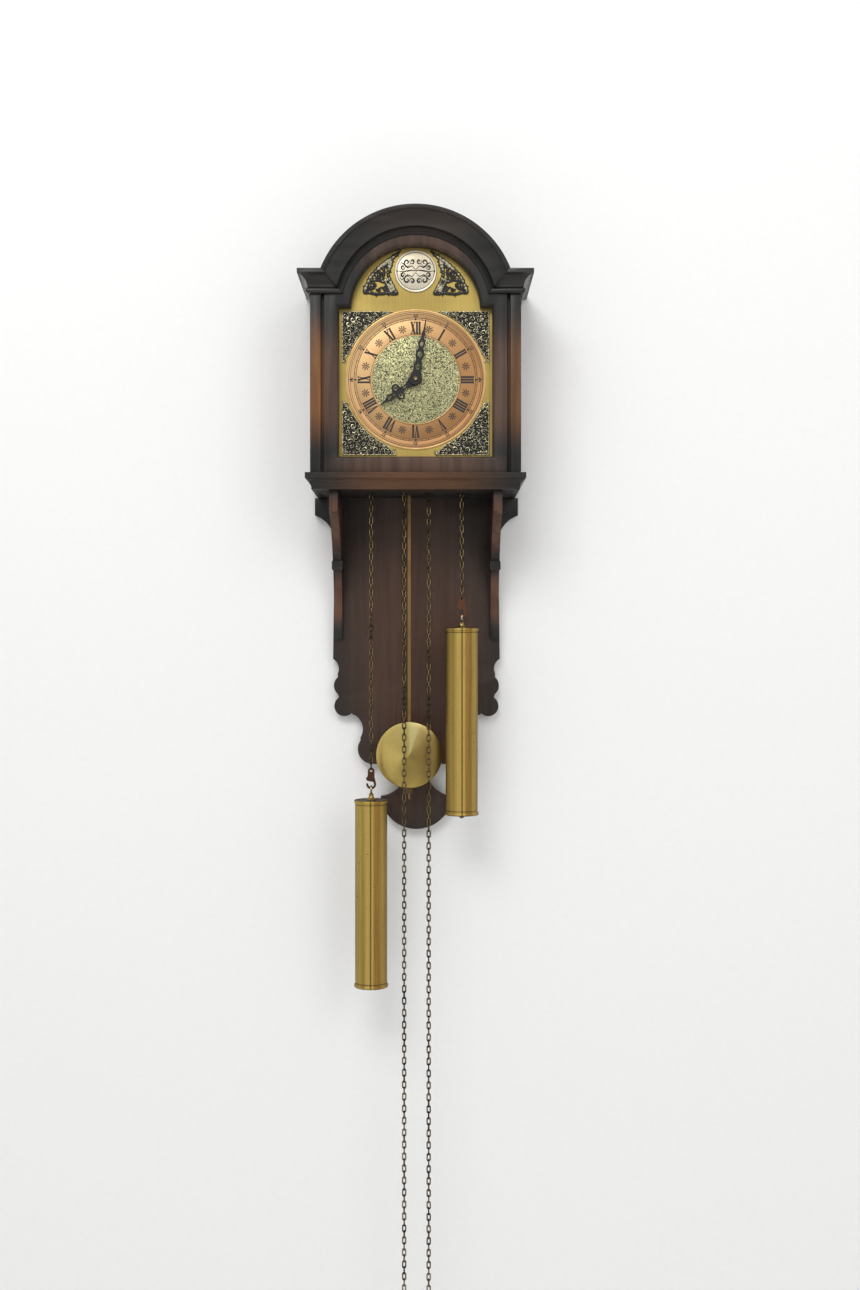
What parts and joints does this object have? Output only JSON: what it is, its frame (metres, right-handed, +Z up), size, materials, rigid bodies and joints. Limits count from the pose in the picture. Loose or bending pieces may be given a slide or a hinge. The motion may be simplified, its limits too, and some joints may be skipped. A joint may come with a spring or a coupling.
{
  "type": "wall clock",
  "caption": "Weight-driven hooded wall clock with an arched break-arch dial, shaped backboard and brackets, chain-hung cylinder weights and a disc pendulum.",
  "frame": {"origin": "centre of the hanging hole at the back face of the backboard", "axes": "+X to the right as seen from the front, +Y into the wall, +Z up"},
  "size_m": [0.243, 0.1125, 1.298],
  "materials": {
    "case_wood": "satin",
    "dial_brass": "brushed",
    "ring_copper": "satin",
    "disc_bronze": "satin",
    "casting": "aged",
    "boss_silver": "satin",
    "movement_brass": "satin",
    "hand_black": "satin",
    "steel": "satin",
    "rod_brass": "satin",
    "bob_brass": "brushed",
    "weight_brass": "polished",
    "cap_brass": "polished",
    "filling_iron": "rough",
    "hook_copper": "aged",
    "chain_bronze": "aged"
  },
  "bodies": {
    "case": {"backboard": "case_wood", "console_left": "case_wood", "console_right": "case_wood", "seat_board": "case_wood", "base_moulding_front": "case_wood", "base_moulding_left": "case_wood", "base_moulding_right": "case_wood", "side_panel_left": "case_wood", "side_panel_right": "case_wood", "front_frame": "case_wood", "dial_frame": "case_wood", "arch_roof": "case_wood", "top_boards": "case_wood", "cornice_arch": "case_wood", "cornice_fronts": "case_wood", "cornice_returns": "case_wood", "dial_plate": "dial_brass", "time_ring": "ring_copper", "dial_centre": "disc_bronze", "corner_spandrels": "casting", "arch_spandrels": "casting", "boss": "boss_silver", "dial_feet": "movement_brass", "front_plate": "movement_brass", "back_plate": "movement_brass", "pillars": "movement_brass", "pendulum_cock": "movement_brass"},
    "minute": {"minute_hand": "hand_black", "cannon_pinion": "movement_brass"},
    "hour": {"hour_hand": "hand_black", "hour_wheel": "movement_brass"},
    "minute_wheel": {"minute_wheel": "movement_brass"},
    "third_wheel": {"third_wheel": "movement_brass"},
    "centre_wheel": {"centre_wheel": "movement_brass", "hand_nut": "movement_brass"},
    "intermediate_wheel": {"intermediate_wheel": "movement_brass"},
    "going_great_wheel": {"going_great_wheel": "movement_brass"},
    "escape_wheel": {"escape_wheel": "movement_brass"},
    "pendulum": {"suspension_spring": "steel", "pendulum_rod": "rod_brass", "pendulum_bob": "bob_brass", "rating_nut": "bob_brass"},
    "anchor": {"anchor": "steel"},
    "left_weight": {"left_weight_shell": "weight_brass", "left_weight_filling": "filling_iron", "left_weight_caps": "cap_brass", "left_weight_hook": "hook_copper", "left_weight_chain": "chain_bronze"},
    "left_chain": {"left_free_chain": "chain_bronze", "left_chain_ring": "chain_bronze"},
    "left_chain_wheel": {"going_chain_wheel": "movement_brass"},
    "right_weight": {"right_weight_shell": "weight_brass", "right_weight_filling": "filling_iron", "right_weight_caps": "cap_brass", "right_weight_hook": "hook_copper", "right_weight_chain": "chain_bronze"},
    "right_chain": {"right_free_chain": "chain_bronze", "right_chain_ring": "chain_bronze"},
    "right_chain_wheel": {"strike_chain_wheel": "movement_brass", "strike_great_wheel": "movement_brass"}
  },
  "joints": [
    {"name": "minute_hand", "type": "hinge", "parent": "case", "child": "minute", "pos_m": [0, -0.083, -0.109], "axis": [0, 1, 0], "continuous": true},
    {"name": "minute_wheel", "type": "hinge", "parent": "case", "child": "minute_wheel", "pos_m": [-0.01311, -0.083, -0.11818], "axis": [0, 1, 0], "continuous": true},
    {"name": "hour_hand", "type": "hinge", "parent": "case", "child": "hour", "pos_m": [0, -0.085, -0.109], "axis": [0, 1, 0], "continuous": true},
    {"name": "third_wheel", "type": "hinge", "parent": "case", "child": "third_wheel", "pos_m": [0.00419, -0.06, -0.08639], "axis": [0, 1, 0], "continuous": true},
    {"name": "centre_wheel", "type": "hinge", "parent": "case", "child": "centre_wheel", "pos_m": [0, -0.06, -0.109], "axis": [0, 1, 0], "continuous": true},
    {"name": "intermediate_wheel", "type": "hinge", "parent": "case", "child": "intermediate_wheel", "pos_m": [-0.01784, -0.06, -0.12506], "axis": [0, 1, 0], "continuous": true},
    {"name": "great_wheel", "type": "hinge", "parent": "case", "child": "going_great_wheel", "pos_m": [-0.03, -0.051, -0.15], "axis": [0, 1, 0], "continuous": true},
    {"name": "escape_wheel", "type": "hinge", "parent": "case", "child": "escape_wheel", "pos_m": [-0.0076, -0.06, -0.074], "axis": [0, 1, 0], "continuous": true},
    {"name": "pendulum", "type": "hinge", "parent": "case", "child": "pendulum", "pos_m": [-0.0076, -0.03, -0.055], "axis": [0, 1, 0], "range_deg": [-3, 3]},
    {"name": "anchor", "type": "hinge", "parent": "case", "child": "anchor", "pos_m": [-0.0076, -0.06, -0.055], "axis": [0, 1, 0], "range_deg": [-3.2, 3.2]},
    {"name": "left_weight", "type": "slide", "parent": "case", "child": "left_weight", "axis": [0, 0, 1], "range_m": [-0.07, 0.07]},
    {"name": "left_chain_wheel", "type": "hinge", "parent": "case", "child": "left_chain_wheel", "pos_m": [-0.03, -0.06, -0.15], "axis": [0, 1, 0], "range_deg": [-230, 230]},
    {"name": "left_free_chain", "type": "slide", "parent": "case", "child": "left_chain", "axis": [0, 0, 1], "range_m": [-0.0705, 0.0705]},
    {"name": "right_weight", "type": "slide", "parent": "case", "child": "right_weight", "axis": [0, 0, 1], "range_m": [-0.07, 0.07]},
    {"name": "right_chain_wheel", "type": "hinge", "parent": "case", "child": "right_chain_wheel", "pos_m": [0.031, -0.06, -0.15], "axis": [0, 1, 0], "range_deg": [-230, 230]},
    {"name": "right_free_chain", "type": "slide", "parent": "case", "child": "right_chain", "axis": [0, 0, 1], "range_m": [-0.0705, 0.0705]}
  ],
  "couplings": [
    {"joint": "minute_wheel", "follows": "minute_hand", "ratio": -0.33333},
    {"joint": "hour_hand", "follows": "minute_hand", "ratio": 0.083333},
    {"joint": "centre_wheel", "follows": "third_wheel", "ratio": -0.095238},
    {"joint": "escape_wheel", "follows": "third_wheel", "ratio": -8.5},
    {"joint": "intermediate_wheel", "follows": "third_wheel", "ratio": 0.034632},
    {"joint": "great_wheel", "follows": "third_wheel", "ratio": -0.0054113},
    {"joint": "anchor", "follows": "pendulum", "ratio": 1},
    {"joint": "left_chain_wheel", "follows": "left_weight", "rad_per_m": 57.143},
    {"joint": "left_free_chain", "follows": "left_weight", "ratio": -1},
    {"joint": "right_chain_wheel", "follows": "right_weight", "rad_per_m": -57.143},
    {"joint": "right_free_chain", "follows": "right_weight", "ratio": -1}
  ]
}
